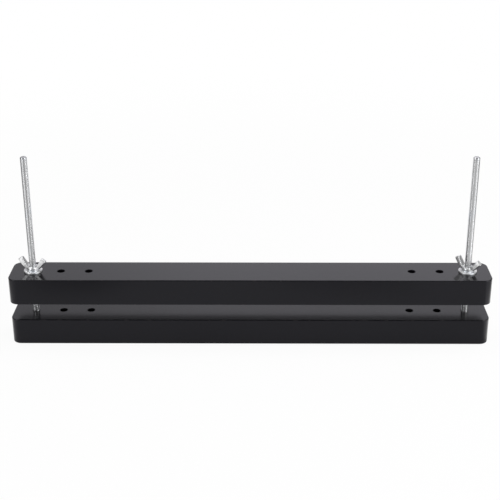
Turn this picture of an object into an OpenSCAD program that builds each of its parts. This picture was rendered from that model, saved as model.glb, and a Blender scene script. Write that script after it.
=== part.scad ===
// Two-screw book press: two flat boards, two threaded rods and two wing nuts.
// Millimetres, +Z up. X runs along the boards, the front is -Y.
// The origin is the middle of the lower board's underside.

/* [Boards] */
// Length of each board
board_length = 430; // [380:1:500]
// Depth of each board, front to back
board_depth = 40; // [36:1:60]
// Thickness of each board
board_height = 24; // [20:1:36]
// Radius of the four upright corners
corner_radius = 8; // [4:0.5:12]
// Radius of the rounded top and bottom edges
edge_radius = 0.75; // [0.5:0.25:3]
// Clear opening between the boards at rest
board_gap = 15; // [2:0.5:60]

/* [Holes] */
// Radial play of a rod in its hole
hole_play = 0.3; // [0.25:0.05:1.5]
// Distance from a board's end to its first hole
hole_margin = 20; // [16:0.5:26]
// Distance from one hole to the next
hole_pitch = 25; // [23:0.5:40]
// Hole positions at each end of a board
hole_positions = 3; // [1:1:4]
// Width of the bevel at the mouth of each hole
hole_bevel = 0.4; // [0.2:0.1:1]
// Diameter of the recesses under the lower board
recess_diameter = 20; // [19:0.5:22]

/* [Threaded rods] */
// Outer diameter of the thread
thread_diameter = 6; // [5:0.25:6]
// Rise of the thread in one turn
thread_pitch = 1; // [0.8:0.05:1.25]
// Length of each rod
rod_length = 169; // [130:1:260]
// Height of a rod's lower end above the table
rod_foot = 2; // [0.5:0.25:4]
// Length of rod that stands out below its lower nut
rod_tail = 1.4; // [0.8:0.1:3]
// Bevel at both ends of a rod
rod_bevel = 0.7; // [0.4:0.1:0.8]

/* [Wing nuts] */
// Distance across both wing tips
wing_span = 26.8; // [24:0.2:30]
// Height of the wing tips over the nut's seat
wing_height = 12; // [10:0.25:15]
// Breadth of a wing at its tip
wing_breadth = 5.1; // [4.6:0.1:6]
// Breadth of a wing where it leaves the hub
wing_neck = 4.1; // [3.6:0.1:4.6]
// Thickness of a wing
wing_thickness = 3.7; // [2.4:0.1:4.4]
// Lean of the wings away from upright
wing_lean = 35; // [28:0.5:38]
// Radius of the wing tips' corners
tip_radius = 1.1; // [0.6:0.1:1.6]
// Diameter of the hub at its seat
hub_base = 11.2; // [10.4:0.2:13]
// Diameter of the hub at its top
hub_top = 9.4; // [8.8:0.2:10.2]
// Height of the hub
hub_height = 3.7; // [3.3:0.1:5.4]
// Direction of the left nut's right wing, from +X
left_nut_angle = -15; // [-180:1:180]
// Direction of the right nut's right wing, from +X
right_nut_angle = -43; // [-180:1:180]

/* [Washers and lower nuts] */
// Outer diameter of the washers
washer_diameter = 16.5; // [14:0.25:18]
// Thickness of the washers
washer_thickness = 1.6; // [1:0.1:2.4]
// Distance across the flats of the lower nuts
nut_flats = 10; // [9:0.25:11]
// Height of the lower nuts
nut_height = 5; // [4:0.25:6]

/* [Fits] */
// Radial play of a wing nut on its rod
thread_play = 0.1; // [0.03:0.01:0.1]
// Radial play of a washer on its rod
washer_play = 0.3; // [0.25:0.05:0.5]

/* [Hidden] */
$fn = 64;

black_paint = [0.07, 0.07, 0.08];
zinc = [0.74, 0.75, 0.77];

thread_r = thread_diameter / 2;
thread_depth = 0.6134 * thread_pitch;
rod_x = board_length / 2 - hole_margin;
hole_xs = [for (i = [0 : hole_positions - 1]) rod_x - i * hole_pitch];

// heights in the stack, from the table up
lower_nut_z = rod_foot + rod_tail;
lower_washer_z = lower_nut_z + nut_height;
recess_depth = lower_washer_z + washer_thickness;
upper_board_z = board_height + board_gap;
top_washer_z = upper_board_z + board_height;
wing_nut_z = top_washer_z + washer_thickness;

// Half of a board's section: flat at x = 0, both corners at x = w rounded.
module half_section(w) {
    square([w - edge_radius, board_height]);
    translate([0, edge_radius])
        square([w, board_height - 2 * edge_radius]);
    for (z = [edge_radius, board_height - edge_radius])
        translate([w - edge_radius, z])
            circle(edge_radius);
}

// A board before drilling: two long halves, two end strips and four round corners.
module board_blank() {
    straight_x = board_length / 2 - corner_radius;
    straight_y = board_depth / 2 - corner_radius;
    for (turn = [0, 180])
        rotate([0, 0, turn]) {
            rotate([90, 0, 90])
                linear_extrude(2 * straight_x, center = true)
                    half_section(board_depth / 2);
            translate([straight_x, 0, 0])
                rotate([90, 0, 0])
                    linear_extrude(2 * straight_y, center = true)
                        half_section(corner_radius);
        }
    for (x = [-straight_x, straight_x], y = [-straight_y, straight_y])
        translate([x, y, 0])
            rotate_extrude()
                half_section(corner_radius);
}

// A through hole with a bevel at both mouths.
module rod_hole() {
    hole_r = thread_r + hole_play;
    translate([0, 0, -1])
        cylinder(r = hole_r, h = board_height + 2);
    translate([0, 0, board_height - hole_bevel])
        cylinder(r1 = hole_r, r2 = hole_r + hole_bevel, h = hole_bevel);
    cylinder(r1 = hole_r + hole_bevel, r2 = hole_r, h = hole_bevel);
}

// A board with its rows of holes, and recesses below when it carries the rods.
module drilled_board(recessed) {
    difference() {
        board_blank();
        for (x = hole_xs, side = [-1, 1])
            translate([side * x, 0, 0]) {
                rod_hole();
                if (recessed)
                    translate([0, 0, -1])
                        cylinder(d = recess_diameter, h = recess_depth + 1);
            }
    }
}

// One thread ridge whose lower root ends at height z: flank, crest, flank, root.
function ridge(z) = [
    [thread_r - thread_depth, z],
    [thread_r, z + 0.375 * thread_pitch],
    [thread_r, z + 0.5 * thread_pitch],
    [thread_r - thread_depth, z + 0.875 * thread_pitch]];

// A rod, plain where its lower nut grips it and ridged at the thread's pitch above.
module rod() {
    ridge_z = nut_height + rod_tail;
    turns = floor((rod_length - ridge_z - rod_bevel) / thread_pitch) - 1;
    last_z = ridge_z + (turns + 1) * thread_pitch;
    translate([0, 0, rod_foot])
        rotate_extrude()
            polygon(concat(
                [[0, 0], [thread_r - rod_bevel, 0], [thread_r, rod_bevel], [thread_r, ridge_z]],
                [for (i = [0 : turns]) each ridge(ridge_z + i * thread_pitch)],
                [[thread_r - thread_depth, last_z], [thread_r - rod_bevel, rod_length], [0, rod_length]]));
}

// A flat washer with its underside at z = 0.
module washer() {
    edge = 0.2;
    difference() {
        union() {
            cylinder(d = washer_diameter, h = washer_thickness - edge);
            translate([0, 0, washer_thickness - edge])
                cylinder(d1 = washer_diameter, d2 = washer_diameter - 2 * edge, h = edge);
        }
        translate([0, 0, -1])
            cylinder(r = thread_r + washer_play, h = washer_thickness + 2);
    }
}

// A hexagon nut with bevelled corners, gripping the rod's plain end.
module hex_nut() {
    corner_r = nut_flats / 2 / cos(30);
    bevel = 0.5;
    difference() {
        intersection() {
            cylinder(r = corner_r, h = nut_height, $fn = 6);
            rotate_extrude()
                polygon([[0, 0], [nut_flats / 2 - 0.1, 0], [corner_r, bevel],
                    [corner_r, nut_height - bevel], [nut_flats / 2 - 0.1, nut_height], [0, nut_height]]);
        }
        translate([0, 0, -1])
            cylinder(r = thread_r, h = nut_height + 2);
    }
}

// Points of a rounded corner at c, from direction a to direction a - 90.
function corner_points(c, a) = [for (t = [0 : 15 : 90]) c + tip_radius * [cos(a - t), sin(a - t)]];

// Outline of one wing in the plane through the rod's axis: x outward, y up.
module wing_outline() {
    along = [sin(wing_lean), cos(wing_lean)];
    outward = [cos(wing_lean), -sin(wing_lean)];
    tip = [wing_span / 2 - wing_breadth / 2 * outward[0], wing_height + wing_breadth / 2 * outward[1]];
    neck = tip - along * (tip[1] - hub_height + 0.6) / along[1];
    inset = tip - along * tip_radius;
    reach = outward * (wing_breadth / 2 - tip_radius);
    hub_side = hub_base / 2 - 0.6;
    polygon(concat(
        [[thread_r + 0.4, 1.2], [thread_r + 0.4, hub_height - 0.2]],
        [neck - outward * wing_neck / 2],
        corner_points(inset - reach, 180 - wing_lean),
        corner_points(inset + reach, 90 - wing_lean),
        [neck + outward * wing_neck / 2],
        [[hub_side + 0.9, 1.7], [hub_side, 1.2]]));
}

// A wing nut with its seat at z = 0 and one wing toward +X.
module wing_nut() {
    bore_r = thread_r + thread_play;
    lip = 0.5;
    difference() {
        union() {
            rotate_extrude()
                polygon([[0, 0], [hub_base / 2 - 0.4, 0], [hub_base / 2, 0.4], [hub_base / 2, 1],
                    [hub_top / 2, hub_height - lip], [hub_top / 2 - lip, hub_height], [0, hub_height]]);
            for (turn = [0, 180])
                rotate([0, 0, turn])
                    rotate([90, 0, 0])
                        linear_extrude(wing_thickness, center = true)
                            wing_outline();
        }
        translate([0, 0, -1])
            cylinder(r = bore_r, h = hub_height + 2);
        translate([0, 0, hub_height - lip])
            cylinder(r1 = bore_r, r2 = bore_r + lip, h = lip);
        cylinder(r1 = bore_r + lip, r2 = bore_r, h = lip);
    }
}

// The sub-parts in their places at rest
module lower_board() {
    color(black_paint)
        drilled_board(true);
}

module upper_board() {
    color(black_paint)
        translate([0, 0, upper_board_z])
            drilled_board(false);
}

module left_rod() {
    color(zinc)
        translate([-rod_x, 0, 0])
            rod();
}

module right_rod() {
    color(zinc)
        translate([rod_x, 0, 0])
            rod();
}

module left_wing_nut() {
    color(zinc)
        translate([-rod_x, 0, wing_nut_z])
            rotate([0, 0, left_nut_angle])
                wing_nut();
}

module right_wing_nut() {
    color(zinc)
        translate([rod_x, 0, wing_nut_z])
            rotate([0, 0, right_nut_angle])
                wing_nut();
}

module left_top_washer() {
    color(zinc)
        translate([-rod_x, 0, top_washer_z])
            washer();
}

module right_top_washer() {
    color(zinc)
        translate([rod_x, 0, top_washer_z])
            washer();
}

module left_lower_washer() {
    color(zinc)
        translate([-rod_x, 0, lower_washer_z])
            washer();
}

module right_lower_washer() {
    color(zinc)
        translate([rod_x, 0, lower_washer_z])
            washer();
}

module left_lower_nut() {
    color(zinc)
        translate([-rod_x, 0, lower_nut_z])
            hex_nut();
}

module right_lower_nut() {
    color(zinc)
        translate([rod_x, 0, lower_nut_z])
            hex_nut();
}

lower_board();
upper_board();
left_rod();
right_rod();
left_wing_nut();
right_wing_nut();
left_top_washer();
right_top_washer();
left_lower_washer();
right_lower_washer();
left_lower_nut();
right_lower_nut();
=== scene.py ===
# %% [markdown]
# # A book press in black lacquer and bright zinc
#
# The press is two flat wooden boards, sprayed black, with a threaded rod through each end.
# Wing nuts on the rods draw the boards together. The CAD frame gives every piece its place
# and its true size in metres, so nothing here is fitted by eye. This lesson gives the bare
# frame its finishes, and replaces the screws and washers with finely shaped ones.

from math import cos, pi, radians, sin

import bmesh
import bpy
from mathutils import Matrix, Vector


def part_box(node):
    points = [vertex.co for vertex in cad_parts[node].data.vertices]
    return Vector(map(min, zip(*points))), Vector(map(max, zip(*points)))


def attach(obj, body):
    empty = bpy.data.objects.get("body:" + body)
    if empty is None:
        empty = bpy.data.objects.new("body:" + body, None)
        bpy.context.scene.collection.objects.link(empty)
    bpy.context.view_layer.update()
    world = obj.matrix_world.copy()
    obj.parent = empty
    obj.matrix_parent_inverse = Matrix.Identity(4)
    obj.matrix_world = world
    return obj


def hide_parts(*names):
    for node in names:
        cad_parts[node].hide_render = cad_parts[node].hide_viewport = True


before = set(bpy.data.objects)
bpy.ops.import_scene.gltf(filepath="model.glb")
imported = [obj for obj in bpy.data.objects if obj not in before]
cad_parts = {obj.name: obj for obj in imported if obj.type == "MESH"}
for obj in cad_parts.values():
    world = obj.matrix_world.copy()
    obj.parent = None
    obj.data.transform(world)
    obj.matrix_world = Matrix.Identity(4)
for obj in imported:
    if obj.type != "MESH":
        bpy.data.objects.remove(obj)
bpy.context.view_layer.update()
scene = bpy.context.scene
scene.view_settings.view_transform = "Standard"
MM = 0.001

# %% [markdown]
# ## The camera
#
# A camera can be placed by hand, or worked out from edges whose true size is known. Here it
# was worked out: the board's length, the rods' lean and the rows of holes give one place, one
# tilt and one focal length. Those few numbers are all that this cell needs.

# %% Camera
CAMERA_PLACE = Vector((9.2, -913.0, 479.5)) * MM
CAMERA_DOWN = radians(23.43)
CAMERA_LEFT = radians(0.573)
CAMERA_ROLL = radians(-0.157)
FOCAL_PIXELS = 1117.3
IMAGE_PIXELS = 500


def aimed_camera():
    level = cos(CAMERA_DOWN)
    ahead = Vector((-sin(CAMERA_LEFT) * level, cos(CAMERA_LEFT) * level, -sin(CAMERA_DOWN)))
    right = Vector((cos(CAMERA_LEFT), sin(CAMERA_LEFT), 0))
    above = right.cross(ahead)
    tilted_right = cos(CAMERA_ROLL) * right + sin(CAMERA_ROLL) * above
    tilted_above = cos(CAMERA_ROLL) * above - sin(CAMERA_ROLL) * right
    turn = Matrix((tilted_right, tilted_above, -ahead)).transposed().to_4x4()
    camera = bpy.data.objects.new("camera", bpy.data.cameras.new("camera"))
    camera.data.sensor_width = 36
    camera.data.lens = FOCAL_PIXELS / IMAGE_PIXELS * camera.data.sensor_width
    camera.matrix_world = Matrix.Translation(CAMERA_PLACE) @ turn
    scene.collection.objects.link(camera)
    return camera


scene.camera = aimed_camera()
print("camera lens in mm:", round(scene.camera.data.lens, 2))

# %% [markdown]
# ## Shader maths as plain expressions
#
# A finish is a small sum: a mask times a colour, one minus a wear value, and so on. Wiring
# Math nodes by hand hides that sum. The class below wraps a socket, so that + - * / on it add
# the Math nodes, and one method of the recipe adds every other kind of node.

# %% A socket that can be added and multiplied
class Wire:
    """An output socket that works as a number in an expression."""

    def __init__(self, recipe, socket):
        self.recipe = recipe
        self.socket = socket

    def out(self, name):
        """Another output of the same node."""
        return Wire(self.recipe, self.socket.node.outputs[name])

    def __add__(self, other):
        return self.recipe.math("ADD", self, other)

    def __sub__(self, other):
        return self.recipe.math("SUBTRACT", self, other)

    def __mul__(self, other):
        return self.recipe.math("MULTIPLY", self, other)

    def __truediv__(self, other):
        return self.recipe.math("DIVIDE", self, other)

    def __rsub__(self, other):
        return self.recipe.math("SUBTRACT", other, self)

    def __rtruediv__(self, other):
        return self.recipe.math("DIVIDE", other, self)

    __radd__ = __add__
    __rmul__ = __mul__


# %% The node tree of one finish
class Recipe:
    """Adds nodes to the tree of a material or of the world."""

    def __init__(self, owner):
        owner.use_nodes = True
        self.tree = owner.node_tree
        self.tree.nodes.clear()

    def node(self, kind, settings=None, output=0, **inputs):
        """Adds a node: its settings first, then the values or wires of its sockets.

        An underscore in a socket's name stands for a space, and i0, i1 are sockets by number.
        """
        made = self.tree.nodes.new("ShaderNode" + kind)
        for name, value in (settings or {}).items():
            setattr(made, name, value)
        for name, value in inputs.items():
            key = int(name[1:]) if name[1:].isdigit() else name.replace("_", " ")
            if isinstance(value, Wire):
                self.tree.links.new(value.socket, made.inputs[key])
            else:
                made.inputs[key].default_value = value
        return Wire(self, made.outputs[output]) if made.outputs else made

    def math(self, operation, a, b=0.0):
        return self.node("Math", {"operation": operation}, i0=a, i1=b)

    def between(self, value, low, high):
        """0 below low, 1 above high, and a smooth rise between them."""
        smooth = {"interpolation_type": "SMOOTHSTEP"}
        return self.node("MapRange", smooth, Value=value, From_Min=low, From_Max=high)

    def noise(self, place, scale, stretch=(1, 1, 1), detail=3.0, roughness=0.5):
        """Noise with scale spots in a metre, drawn out where stretch is below 1."""
        drawn = self.node("VectorMath", {"operation": "MULTIPLY"}, i0=place, i1=stretch)
        return self.node("TexNoise", Vector=drawn, Scale=scale, Detail=detail, Roughness=roughness)

    def blend(self, amount, low, high, way="MIX"):
        """A colour between low and high, or low times high."""
        mix = {"data_type": "RGBA", "blend_type": way}
        return self.node("Mix", mix, output=2, i0=amount, i6=low, i7=high)

    def bump(self, height, depth):
        """A normal from a height between 0 and 1, where 1 stands depth metres out."""
        return self.node("Bump", Height=height, Distance=depth, Strength=1.0)


def grey(level):
    return (level, level, level, 1)


print("recipes ready")

# %% [markdown]
# ## Black lacquer on wood
#
# The boards are close-grained wood under a few coats of satin black and a thin clear one.
# Such a finish is nearly black to the eye, but it has a gloss at low angles, which is what
# makes the top faces look grey. Long grain lines and a fine orange peel show only in that,
# so they go into the bump and the roughness, and hardly at all into the colour. A little of
# the coat is rubbed thin along the edges; the mask for that is worked out from the board's
# own size, because the rounded edges are where it is worn. Work lies on the lower board, so
# its coat is thinner and duller, and reflections in it fade more softly.

# %% Where the board's edges are
CORNER_RADIUS = 8 * MM
EDGE_RADIUS = 0.75 * MM


def past(recipe, value, start):
    """How far a value is past start, or 0."""
    return recipe.math("MAXIMUM", value - start, 0.0)


def edge_mask(recipe, place, low, high):
    """1 along the rounded edges of the board that fills the box from low to high."""
    middle = (low + high) / 2
    half = (high - low) / 2
    parts = recipe.node("SeparateXYZ", Vector=place)
    along = recipe.math("ABSOLUTE", parts - middle.x)
    across = recipe.math("ABSOLUTE", parts.out("Y") - middle.y)
    up = recipe.math("ABSOLUTE", parts.out("Z") - middle.z)
    beyond_x = past(recipe, along, half.x - CORNER_RADIUS)
    beyond_y = past(recipe, across, half.y - CORNER_RADIUS)
    outward = recipe.math("SQRT", beyond_x * beyond_x + beyond_y * beyond_y)
    side = recipe.between(outward, CORNER_RADIUS - EDGE_RADIUS, CORNER_RADIUS)
    flat = recipe.between(up, half.z - EDGE_RADIUS, half.z)
    return recipe.between(side * flat, 0.12, 0.3)


# %% Lacquer
BLACK = (0.0016, 0.0015, 0.0026, 1)
SOFT_BLACK = (0.0032, 0.0030, 0.0044, 1)
RUBBED_BLACK = (0.030, 0.027, 0.025, 1)
DUST = grey(0.035)
COOL_GLOSS = (0.9, 0.89, 1.0, 1)
LACQUER_IOR = 1.28
PEEL_HEIGHT = 0.008 * MM
BOARD_DULLNESS = {"lower_board": 0.08, "upper_board": 0.0}


def lacquer(name, low, high, dull):
    """Black lacquer for the board that fills the box from low to high. dull is 0 for gloss."""
    finish = bpy.data.materials.new(name)
    recipe = Recipe(finish)
    place = recipe.node("TexCoord", output="Object")
    grain = recipe.noise(place, 260, stretch=(0.02, 1, 1), detail=5, roughness=0.55)
    pores = recipe.noise(place, 1100, stretch=(0.035, 1, 1), detail=2)
    peel = recipe.noise(place, 700, detail=1)
    cloud = recipe.noise(place, 28, detail=2)
    rub = recipe.between(recipe.noise(place, 160, detail=4), 0.5, 0.68)
    worn = edge_mask(recipe, place, low, high) * rub
    fleck = recipe.between(recipe.noise(place, 2600, detail=1), 0.70, 0.78)
    paint = recipe.blend(cloud * 0.6 + grain * 0.4, BLACK, SOFT_BLACK)
    rubbed = recipe.blend(worn * 0.5, paint, RUBBED_BLACK)
    relief = grain * 0.5 + recipe.between(pores, 0.3, 0.6) * 0.2 + peel * 0.3
    skin = recipe.node(
        "BsdfPrincipled",
        Base_Color=recipe.blend(fleck * 0.25, rubbed, DUST),
        Roughness=0.13 + dull + cloud * 0.06 + pores * 0.03 + worn * 0.12,
        IOR=LACQUER_IOR,
        Specular_Tint=COOL_GLOSS,
        Coat_Weight=0.4 - dull,
        Coat_Roughness=0.14,
        Coat_IOR=LACQUER_IOR,
        Normal=recipe.bump(relief, PEEL_HEIGHT),
    )
    recipe.node("OutputMaterial", Surface=skin)
    return finish


for board, dull in BOARD_DULLNESS.items():
    low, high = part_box(board)
    finish = lacquer("black_lacquer_" + board, low, high, dull)
    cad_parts[board].data.materials.clear()
    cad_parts[board].data.materials.append(finish)
    print(board, "size in mm:", [round(side / MM, 2) for side in high - low])

# %% [markdown]
# ## Bright zinc
#
# The screws, nuts and washers are mild steel with bright zinc plating. Zinc is a pale grey
# metal that is never quite even: soft clouds from the bath, and a very faint blue tint from the
# passivation. The bottom of a thread is made duller and darker. One function makes the
# plating, and each kind of piece gets its own grain, and the rods their darker thread bottoms.

# %% Zinc plating
PALE_ZINC = (0.80, 0.805, 0.81, 1)
GREY_ZINC = (0.72, 0.725, 0.735, 1)
BLUE_TINT = (0.90, 0.94, 1.0, 1)
PLAIN = grey(1.0)
# Colour blended in at the bottom of the rods' thread, which makes it darker.
THREAD_BOTTOM_DARK = (0.20, 0.19, 0.18, 1)


def zinc(name, shade, roughness, dents, uneven=0.1, hollow=None, scuff=None):
    """Zinc of one shade, with dents in metres. hollow and scuff make masks of a place."""
    finish = bpy.data.materials.new(name)
    recipe = Recipe(finish)
    place = recipe.node("TexCoord", output="Object")
    cloud = recipe.noise(place, 190, detail=3)
    bloom = recipe.between(recipe.noise(place, 70, detail=1), 0.52, 0.72)
    crystal = recipe.noise(place, 5200, detail=2)
    dent = recipe.noise(place, 420, detail=2)
    dimmed = tuple((1 - uneven) * part for part in shade[:3]) + (1,)
    plated = recipe.blend(recipe.between(cloud, 0.3, 0.7), dimmed, shade)
    tint = recipe.blend(bloom * 0.6, PLAIN, BLUE_TINT)
    colour = recipe.blend(1.0, plated, tint, "MULTIPLY")
    dull = roughness + cloud * 0.08 + crystal * 0.04
    if hollow:
        # Where the hollow mask is, the colour goes darker and the skin duller.
        hollow_darkening = hollow(recipe, place)
        colour = recipe.blend(hollow_darkening, colour, THREAD_BOTTOM_DARK)
        dull = dull + hollow_darkening * 0.2
    fine = scuff(recipe, place) if scuff else crystal
    skin = recipe.node(
        "BsdfPrincipled",
        Base_Color=colour,
        Metallic=1.0,
        Roughness=dull,
        Normal=recipe.bump(dent * 0.7 + fine * 0.3, dents),
    )
    recipe.node("OutputMaterial", Surface=skin)
    return finish


def from_axis(recipe, place):
    """Distance from the piece's upright axis."""
    flat = recipe.node("VectorMath", {"operation": "MULTIPLY"}, i0=place, i1=(1, 1, 0))
    return recipe.node("VectorMath", {"operation": "LENGTH"}, output="Value", i0=flat)


print("zinc ready")

# %% [markdown]
# ## Pieces from code
#
# Round pieces come from a turned profile, as on a lathe: a list of points, radius against
# height, is spun about the upright axis. Joining the last ring to the first makes a washer,
# and closing both ends makes a solid. A helper marks the edges that are sharper than a given
# angle, so that smooth shading stops there, and another puts a piece on its body.

# %% Turning and placing
def joined_rings(shape, rings):
    """Faces between each ring of points and the next."""
    for ring, following in zip(rings, rings[1:]):
        count = len(ring)
        for step in range(count):
            after = (step + 1) % count
            shape.faces.new((ring[step], ring[after], following[after], following[step]))


def turned(profile, around, hollow):
    """A closed shape from (radius, height) points in metres, spun about the upright axis."""
    shape = bmesh.new()
    angles = [2 * pi * step / around for step in range(around)]
    rings = []
    for radius, height in profile:
        rings.append([shape.verts.new((radius * cos(a), radius * sin(a), height)) for a in angles])
    joined_rings(shape, rings + rings[:1] if hollow else rings)
    if not hollow:
        shape.faces.new(rings[0])
        shape.faces.new(rings[-1])
    bmesh.ops.recalc_face_normals(shape, faces=shape.faces)
    return shape


def plain_mesh(shape, name):
    mesh = bpy.data.meshes.new(name)
    shape.to_mesh(mesh)
    shape.free()
    return mesh


def smooth_mesh(shape, name, sharp_degrees):
    """Smooth faces, with edges over the given angle left sharp."""
    for face in shape.faces:
        face.smooth = True
    for edge in shape.edges:
        edge.smooth = edge.calc_face_angle(0) < radians(sharp_degrees)
    return plain_mesh(shape, name)


def placed(name, mesh, finish, node, body, place, turn=0.0):
    """A piece that stands for a CAD node and moves with its body."""
    piece = bpy.data.objects.new(name, mesh)
    piece.data.materials.append(finish)
    piece.location = place
    piece.rotation_euler = (0, 0, turn)
    scene.collection.objects.link(piece)
    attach(piece, body)
    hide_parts(node)
    print(name, "faces:", len(mesh.polygons))


# %% [markdown]
# ## The threaded rods
#
# An M6 rod has a ridge that climbs 1 mm in each turn. It could be drawn as a stack of rings,
# but then the ridge would not climb and the ends would be wrong. Here the rows of points
# follow the helix itself: one turn round, a row arrives one pitch higher and joins the row
# that starts there. The rod is made too long, cut flat at both ends, and the ridge dies out
# in a bevel, as a die leaves it. The ridge has a broad flat crest, like a rolled thread under
# plating, so from afar the rod still shows the clean streaks of a bright bar.

# %% Rods
PITCH = 1 * MM
CREST_RADIUS = 3 * MM
THREAD_DEPTH = 0.22 * MM
ROOT_RADIUS = CREST_RADIUS - THREAD_DEPTH
END_RADIUS = 2.3 * MM
RISING_FLANK = ((0.04, 0.0), (0.12, 0.5), (0.19, 0.93), (0.25, 1.0))
FALLING_FLANK = tuple((1 - share, rise) for share, rise in reversed(RISING_FLANK))
RIDGE = [
    (share, ROOT_RADIUS + rise * THREAD_DEPTH) for share, rise in RISING_FLANK + FALLING_FLANK
]
ROD_AROUND = 36
SPARE_TURNS = 4
SAME_POINT = 0.004 * MM
SAME_HEIGHT = 0.0001 * MM
GRIME_HEIGHT = 0.12 * MM


def helix_rows(shape, bottom, top):
    """Rows of points along the thread, from below bottom to above top."""
    rows = []
    for turn in range(int((top - bottom) / PITCH) + SPARE_TURNS):
        for share, radius in RIDGE:
            row = []
            for step in range(ROD_AROUND):
                height = bottom + (turn - SPARE_TURNS / 2 + share + step / ROD_AROUND) * PITCH
                bevel = END_RADIUS + max(0, min(height - bottom, top - height))
                reach = min(radius, bevel)
                angle = 2 * pi * step / ROD_AROUND
                row.append(shape.verts.new((reach * cos(angle), reach * sin(angle), height)))
            rows.append(row)
    return rows


def cut_flat(shape, height, away):
    """Cuts the rod level at a height and closes the cut. away is 1 for the top, -1 below."""
    parts = shape.verts[:] + shape.edges[:] + shape.faces[:]
    bmesh.ops.bisect_plane(
        shape, geom=parts, plane_co=(0, 0, height), plane_no=(0, 0, away), clear_outer=True
    )
    open_edges = [edge for edge in shape.edges if edge.is_boundary]
    rim = [edge for edge in open_edges if abs(edge.verts[0].co.z - height) < SAME_HEIGHT]
    bmesh.ops.edgeloop_fill(shape, edges=rim)


def threaded_rod(bottom, top):
    shape = bmesh.new()
    rows = helix_rows(shape, bottom, top)
    climb = len(RIDGE)
    for index in range(len(rows) - climb - 1):
        for step in range(ROD_AROUND):
            last = step + 1 == ROD_AROUND
            lower = rows[index + climb][0] if last else rows[index][step + 1]
            upper = rows[index + climb + 1][0] if last else rows[index + 1][step + 1]
            shape.faces.new((rows[index][step], lower, upper, rows[index + 1][step]))
    cut_flat(shape, bottom, -1)
    cut_flat(shape, top, 1)
    loose = [vert for vert in shape.verts if not vert.link_faces]
    bmesh.ops.delete(shape, geom=loose, context="VERTS")
    bmesh.ops.dissolve_degenerate(shape, edges=shape.edges, dist=SAME_POINT)
    bmesh.ops.recalc_face_normals(shape, faces=shape.faces)
    return smooth_mesh(shape, "thread", sharp_degrees=50)


def darker_thread_bottom(recipe, place):
    """Duller and darker at the bottom of the thread."""
    low = 1 - recipe.between(from_axis(recipe, place), ROOT_RADIUS, ROOT_RADIUS + GRIME_HEIGHT)
    return low * (0.18 + recipe.noise(place, 240, detail=2) * 0.12)


rod_zinc = zinc(
    "zinc_thread", GREY_ZINC, roughness=0.12, dents=0.0004 * MM, uneven=0.04, hollow=darker_thread_bottom
)
for side in ("left", "right"):
    low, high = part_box(side + "_rod")
    axis_x = (low.x + high.x) / 2
    mesh = threaded_rod(low.z, high.z)
    placed(side + "_threaded_rod", mesh, rod_zinc, side + "_rod", "base", (axis_x, 0, 0))

# %% [markdown]
# ## Washers
#
# A washer is punched from sheet, which rolls its upper edge over and leaves a crisp edge
# below. The turned profile has that roll, and the nut leaves faint rings of scuffs on the
# face that it turns on. Washers tumble against each other in the plating bath, so they come
# out duller than the rods, and their rim catches light all the way round.

# %% Washers
WASHER_BORE = 3.3 * MM
WASHER_ROLL = 0.5 * MM
WASHER_NICK = 0.12 * MM
WASHER_AROUND = 96


def washer_profile(rim, thickness):
    bore = [
        (WASHER_BORE + WASHER_NICK, thickness),
        (WASHER_BORE, thickness - WASHER_NICK),
        (WASHER_BORE, 0.0),
    ]
    foot = [(rim - WASHER_NICK, 0.0), (rim, WASHER_NICK)]
    centre = rim - WASHER_ROLL
    bends = [pi / 2 * share for share in (1, 0.75, 0.5, 0.25, 0)]
    roll = [
        (centre + WASHER_ROLL * sin(bend), thickness - WASHER_ROLL + WASHER_ROLL * cos(bend))
        for bend in bends
    ]
    return bore + foot + roll


def turning_scuffs(recipe, place):
    """Fine rings about the axis."""
    rings = recipe.node("CombineXYZ", X=from_axis(recipe, place))
    return recipe.noise(rings, 9000, detail=2)


washer_zinc = zinc(
    "zinc_washer", PALE_ZINC, roughness=0.38, dents=0.004 * MM, scuff=turning_scuffs
)
WASHERS = (("top_washer", "upper_board"), ("lower_washer", "base"))
for side in ("left", "right"):
    for kind, body in WASHERS:
        node = side + "_" + kind
        low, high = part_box(node)
        middle = (low + high) / 2
        profile = washer_profile((high.x - low.x) / 2, high.z - low.z)
        shape = turned(profile, WASHER_AROUND, hollow=True)
        mesh = smooth_mesh(shape, node, sharp_degrees=40)
        placed(node + "_punched", mesh, washer_zinc, node, body, (middle.x, middle.y, low.z))

# %% [markdown]
# ## Wing nuts
#
# A wing nut is forged: a low round hub and two flat wings with soft edges, all in one flow
# of metal. Joining plain solids would leave hard creases where the wings meet the hub. So the
# hub is turned, each wing is lofted through rounded sections, and the three are fused by a
# voxel remesh and relaxed, which leaves a fillet of about half a millimetre. Last, the bore
# and the flat seat are cut, as they are on the real nut, so those edges stay crisp.

# %% Wings
HUB_BASE = 5.6 * MM
HUB_TOP = 4.7 * MM
HUB_HEIGHT = 3.7 * MM
NUT_BORE = 3.1 * MM
WING_SPAN = 26.8 * MM
WING_HEIGHT = 12 * MM
WING_LEAN = radians(35)
WING_BREADTH = 5.0 * MM
WING_NECK = 3.7 * MM
WING_THICKNESS = 3.7 * MM
WING_DRAFT = 1.8 * MM
WING_TIP_X = WING_SPAN / 2 - WING_BREADTH / 2 * cos(WING_LEAN)
WING_TIP_Z = WING_HEIGHT - WING_BREADTH / 2 * sin(WING_LEAN)
WING_TIP = Vector((WING_TIP_X, 0, WING_TIP_Z))
WING_ROOT = Vector((3.9, 0, 1.8)) * MM
WING_BEND = Vector((5.6, 0, 2.3)) * MM
STRAIGHT_LENGTH = 7.7 * MM
TIP_ROUND = 0.8 * MM
SECTION_POINTS = 48
SQUARENESS = 6


def rounded_section(breadth, thickness):
    """Points of a flat bar with rounded corners, as (across, sideways)."""
    points = []
    for step in range(SECTION_POINTS):
        angle = 2 * pi * step / SECTION_POINTS
        across, sideways = cos(angle), sin(angle)
        stretch = (abs(across) ** SQUARENESS + abs(sideways) ** SQUARENESS) ** (-1 / SQUARENESS)
        points.append((across * stretch * breadth / 2, sideways * stretch * thickness / 2))
    return points


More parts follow.
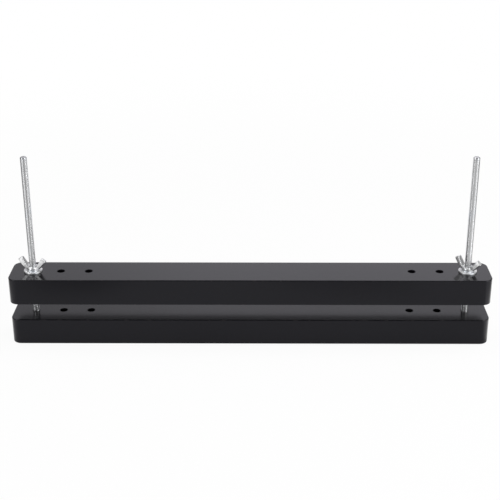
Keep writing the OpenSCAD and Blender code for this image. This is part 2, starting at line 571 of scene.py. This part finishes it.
def wing_stations():
    """Places along a wing: centre, direction, breadth and thickness, from the hub out."""
    along = Vector((sin(WING_LEAN), 0, cos(WING_LEAN)))
    bend_end = WING_TIP - along * STRAIGHT_LENGTH
    stations = []
    for share in (0, 0.25, 0.5, 0.75):
        centre = WING_ROOT.lerp(WING_BEND, share).lerp(WING_BEND.lerp(bend_end, share), share)
        heading = (WING_BEND - WING_ROOT).lerp(bend_end - WING_BEND, share).normalized()
        stations.append((centre, heading, WING_NECK, WING_THICKNESS + WING_DRAFT))
    for share in (0, 0.35, 0.7):
        centre = bend_end + along * STRAIGHT_LENGTH * share
        breadth = WING_NECK + (WING_BREADTH - WING_NECK) * share
        stations.append((centre, along, breadth, WING_THICKNESS + (1 - share) * WING_DRAFT))
    for bend in (0, pi / 6, pi / 3, 0.45 * pi):
        centre = WING_TIP - along * TIP_ROUND * (1 - sin(bend))
        shrink = 2 * TIP_ROUND * (1 - cos(bend))
        stations.append((centre, along, WING_BREADTH - shrink, WING_THICKNESS - shrink))
    return stations


def wing(shape, mirror):
    """One wing, lofted from inside the hub to its square tip."""
    rings = []
    for centre, heading, breadth, thickness in wing_stations():
        outward = Vector((heading.z, 0, -heading.x))
        ring = []
        for across, sideways in rounded_section(breadth, thickness):
            point = centre + outward * across + Vector((0, sideways, 0))
            ring.append(shape.verts.new((point.x * mirror, point.y * mirror, point.z)))
        rings.append(ring)
    joined_rings(shape, rings)
    shape.faces.new(rings[0])
    shape.faces.new(rings[-1])


# %% Forging and cutting
VOXEL = 0.16 * MM
RELAX_STEPS = 5
BELOW = 0.8 * MM
LIP = 0.45 * MM
NUT_AROUND = 96
HUB_PROFILE = (
    (HUB_BASE - 0.2 * MM, -BELOW),
    (HUB_BASE - 0.25 * MM, HUB_HEIGHT - 1.5 * MM),
    (HUB_TOP + 0.4 * MM, HUB_HEIGHT - 0.8 * MM),
    (HUB_TOP, HUB_HEIGHT - 0.25 * MM),
    (HUB_TOP - 0.5 * MM, HUB_HEIGHT),
)
BORE_PROFILE = (
    (NUT_BORE + LIP + BELOW, -BELOW),
    (NUT_BORE, LIP),
    (NUT_BORE, HUB_HEIGHT - LIP),
    (NUT_BORE + LIP + BELOW, HUB_HEIGHT + BELOW),
)
SEAT_PROFILE = ((20 * MM, -5 * MM), (20 * MM, 0.0))
SEAT_AROUND = 32


def cutter(blank, name, profile, around):
    """Takes a turned solid away from the blank."""
    tool = bpy.data.objects.new(name, plain_mesh(turned(profile, around, hollow=False), name))
    scene.collection.objects.link(tool)
    step = blank.modifiers.new(name, "BOOLEAN")
    step.operation = "DIFFERENCE"
    step.solver = "EXACT"
    step.object = tool
    return tool


def nut_blank():
    """Hub and wings, fused and relaxed, before the bore and the seat are cut."""
    shape = turned(HUB_PROFILE, NUT_AROUND, hollow=False)
    for mirror in (1, -1):
        wing(shape, mirror)
    bmesh.ops.recalc_face_normals(shape, faces=shape.faces)
    blank = bpy.data.objects.new("nut_blank", plain_mesh(shape, "nut_blank"))
    scene.collection.objects.link(blank)
    fuse = blank.modifiers.new("fuse", "REMESH")
    fuse.mode = "VOXEL"
    fuse.voxel_size = VOXEL
    relax = blank.modifiers.new("relax", "SMOOTH")
    relax.factor = 0.5
    relax.iterations = RELAX_STEPS
    return blank


def forged_nut():
    blank = nut_blank()
    bore = cutter(blank, "bore_cutter", BORE_PROFILE, NUT_AROUND)
    seat = cutter(blank, "seat_cutter", SEAT_PROFILE, SEAT_AROUND)
    ready = blank.evaluated_get(bpy.context.evaluated_depsgraph_get())
    clean = bmesh.new()
    clean.from_mesh(ready.to_mesh())
    for spent in (blank, bore, seat):
        bpy.data.objects.remove(spent)
    bmesh.ops.remove_doubles(clean, verts=clean.verts, dist=SAME_POINT)
    bmesh.ops.dissolve_degenerate(clean, edges=clean.edges, dist=SAME_POINT)
    return smooth_mesh(clean, "wing_nut", sharp_degrees=34)


nut_zinc = zinc("zinc_forged", PALE_ZINC, roughness=0.29, dents=0.04 * MM)
NUT_TURNS = {"left": radians(-15), "right": radians(-43)}
nut_mesh = forged_nut()
for side, turn in NUT_TURNS.items():
    node = side + "_wing_nut"
    rod_low, rod_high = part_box(side + "_rod")
    seat_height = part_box(node)[0].z
    centre = ((rod_low.x + rod_high.x) / 2, 0, seat_height)
    placed(node + "_forged", nut_mesh.copy(), nut_zinc, node, node, centre, turn)

# %% [markdown]
# ## The lower nuts
#
# Two plain hexagon nuts hold the rods from below, in recesses under the lower board. Their
# CAD shape, with its bevelled corners, is already right, so they only get the plating.

# %% Lower nuts
lower_zinc = zinc("zinc_hexagon", GREY_ZINC, roughness=0.2, dents=0.01 * MM)
for side in ("left", "right"):
    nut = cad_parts[side + "_lower_nut"]
    nut.data.materials.clear()
    nut.data.materials.append(lower_zinc)
    print(nut.name, "faces:", len(nut.data.polygons))

# %% [markdown]
# ## Floor, backdrop and lamps
#
# A black, glossy object is lit by what it reflects. A white backdrop behind it greys the top
# faces, and a quiet ceiling keeps the rounded edges dark. The floor is white to the camera,
# and near the press it still shows a soft shadow. From below it can be seen through, so that
# the recesses under the lower board can be looked at too.
#
# Bright metal needs something dark to reflect as well, or it looks like paint. Beside such
# metal a photographer lays dark cards just out of the picture, and white ones where a black
# edge would be lost. Real cards would also shade the floor, so here they are masks in the
# floor's and the backdrop's reflections. Between the dark ones and four broad lamps, two
# overhead and two in front, the rods get their long streaks.

# %% Dark cards beside the rods
ROD_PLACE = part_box("right_rod")[1].x - CREST_RADIUS
NEAREST = 0.02
CARD_EDGE = 0.1
CARD_FULL = 0.17
LEFT_CARD = 0.7
RIGHT_CARD = 0.4
SIDE_CARD = 0.95
RIGHT_SIDE_CARD = 0.6


def floor_place(recipe, place):
    """A place on the floor as X, Y and Z, a mask of its right half, and how far ahead it is."""
    parts = recipe.node("SeparateXYZ", Vector=place)
    right_half = recipe.between(parts, -0.05, 0.03)
    ahead = recipe.math("MAXIMUM", 0 - parts.out("Y"), NEAREST)
    return parts, right_half, ahead


def dark_cards(recipe, place):
    """Where the floor's reflection is dark: in front of each rod and beside it."""
    parts, right_half, ahead = floor_place(recipe, place)
    from_left = (parts + ROD_PLACE) / ahead
    from_right = (parts - ROD_PLACE) / ahead
    left_card = recipe.between(from_left, -0.4, 0.0) * (1 - recipe.between(from_left, 0.2, 0.6))
    right_card = recipe.between(from_right, -1.4, -0.7) - recipe.between(from_right, -0.4, 0.0)
    front_cards = left_card * LEFT_CARD + right_card * right_half * RIGHT_CARD
    outside = recipe.math("MAXIMUM", recipe.math("ABSOLUTE", parts) - ROD_PLACE, NEAREST)
    beside = recipe.between(parts.out("Y") / outside, -0.35, 0.1)
    side_share = SIDE_CARD - right_half * (SIDE_CARD - RIGHT_SIDE_CARD)
    side_cards = beside * recipe.between(outside, CARD_EDGE, CARD_FULL) * side_share
    return recipe.between(ahead, CARD_EDGE, CARD_FULL) * front_cards + side_cards


print("rods stand", round(ROD_PLACE / MM, 1), "mm from the middle")

# %% White cards beside the boards
END_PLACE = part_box("lower_board")[1].x - CORNER_RADIUS
LEFT_SHARE = 0.25


def white_cards(recipe, place):
    """Where the floor's reflection is brighter: close to the rounded ends, mostly the right."""
    parts, right_half, ahead = floor_place(recipe, place)
    share = LEFT_SHARE + right_half * (1 - LEFT_SHARE)
    beyond = recipe.math("ABSOLUTE", parts) - END_PLACE
    near = 1 - recipe.between(beyond, 0.08, 0.15)
    return recipe.between(beyond / ahead, 0.4, 1.0) * near * share


print("rounded ends start", round(END_PLACE / MM, 1), "mm from the middle")


# %% Floor
FLOOR_REACH = 6
FLOOR_DROP = 0.1 * MM
FLOOR_WHITE = grey(0.95)
CARD_WHITE = grey(1.9)
CARD_BLACK = grey(0.05)


def seen_rays(recipe):
    """Masks of the rays from the camera, and of those from a mirror or glass."""
    straight = recipe.node("LightPath", output="Is Camera Ray")
    through = straight.out("Is Transmission Ray")
    mirrored = recipe.math("MAXIMUM", straight.out("Is Glossy Ray"), through)
    return straight, mirrored


def floor():
    shape = bmesh.new()
    bmesh.ops.create_grid(shape, x_segments=1, y_segments=1, size=FLOOR_REACH)
    sheet = bpy.data.objects.new("floor", plain_mesh(shape, "floor"))
    finish = bpy.data.materials.new("white_sweep")
    recipe = Recipe(finish)
    place = recipe.node("TexCoord", output="Object")
    away = recipe.node("VectorMath", {"operation": "LENGTH"}, output="Value", i0=place)
    far = recipe.between(away, 0.35, 1.0)
    matt = recipe.node("BsdfDiffuse", Color=grey(0.9))
    straight, mirrored = seen_rays(recipe)
    bright = recipe.blend(white_cards(recipe, place), FLOOR_WHITE, CARD_WHITE)
    reflected = recipe.blend(dark_cards(recipe, place), bright, CARD_BLACK)
    glow = recipe.node("Emission", Color=recipe.blend(straight, reflected, PLAIN), Strength=1.0)
    glowing = recipe.math("MAXIMUM", straight * (0.93 + far * 0.07), mirrored * (0.7 + far * 0.3))
    lit = recipe.node("MixShader", i0=glowing, i1=matt, i2=glow)
    below = recipe.node("NewGeometry", output="Backfacing")
    surface = recipe.node("MixShader", i0=below, i1=lit, i2=recipe.node("BsdfTransparent"))
    recipe.node("OutputMaterial", Surface=surface)
    sheet.data.materials.append(finish)
    sheet.location.z = -FLOOR_DROP
    scene.collection.objects.link(sheet)
    return sheet


print("floor is", floor().dimensions.x, "m wide")

# %% Backdrop and ceiling
ROOM = 0.3
SHADE = 0.04
PAPER = 1.09
COOL_WHITE = (0.955, 0.94, 1.0, 1)


def studio():
    """White to the camera, and to the press a dim room with paper behind and a screen."""
    world = bpy.data.worlds.new("studio")
    scene.world = world
    recipe = Recipe(world)
    parts = recipe.node("SeparateXYZ", Vector=recipe.node("TexCoord", output="Generated"))
    behind = recipe.between(parts.out("Y"), 0.0, 0.3)
    low = 1 - recipe.between(parts.out("Z"), 0.5, 0.66)
    middle = recipe.between(parts, -0.8, -0.55) * (1 - recipe.between(parts, 0.4, 0.6))
    bright_right = 0.66 + recipe.between(parts, -0.2, -0.02) * 0.34
    screened = (1 - recipe.between(parts, -0.85, -0.7)) * recipe.between(parts.out("Y"), 0.25, 0.4)
    straight, mirrored = seen_rays(recipe)
    room = recipe.node("Background", Color=PLAIN, Strength=ROOM)
    screen = recipe.node("Background", Color=PLAIN, Strength=SHADE)
    paper = recipe.node("Background", Color=COOL_WHITE, Strength=PAPER)
    white = recipe.node("Background", Color=PLAIN, Strength=1.0)
    sides = recipe.node("MixShader", i0=mirrored * screened, i1=room, i2=screen)
    papered = mirrored * behind * low * middle * bright_right
    around = recipe.node("MixShader", i0=papered, i1=sides, i2=paper)
    recipe.node("OutputWorld", Surface=recipe.node("MixShader", i0=straight, i1=around, i2=white))


studio()
print("room level:", ROOM)

# %% Lamps
LAMP_TARGET = Vector((0, 0, 0.06))
LAMPS = (
    ("left_overhead", (-1.2, 0.8, 3.0), (1.3, 2.0), 22.0),
    ("right_overhead", (1.2, 0.8, 3.0), (1.3, 2.0), 30.0),
    ("left_front", (-1.2, -0.95, 0.62), (0.62, 1.1), 8.0),
    ("right_front", (1.25, -0.8, 0.62), (1.1, 1.1), 14.5),
)
for name, place, size, watts in LAMPS:
    lamp = bpy.data.objects.new(name, bpy.data.lights.new(name, "AREA"))
    lamp.data.shape = "RECTANGLE"
    lamp.data.size, lamp.data.size_y = size
    lamp.data.energy = watts
    lamp.location = place
    aim = LAMP_TARGET - lamp.location
    lamp.rotation_euler = aim.to_track_quat("-Z", "Y").to_euler()
    scene.collection.objects.link(lamp)
    print(name, "lamp,", watts, "W")
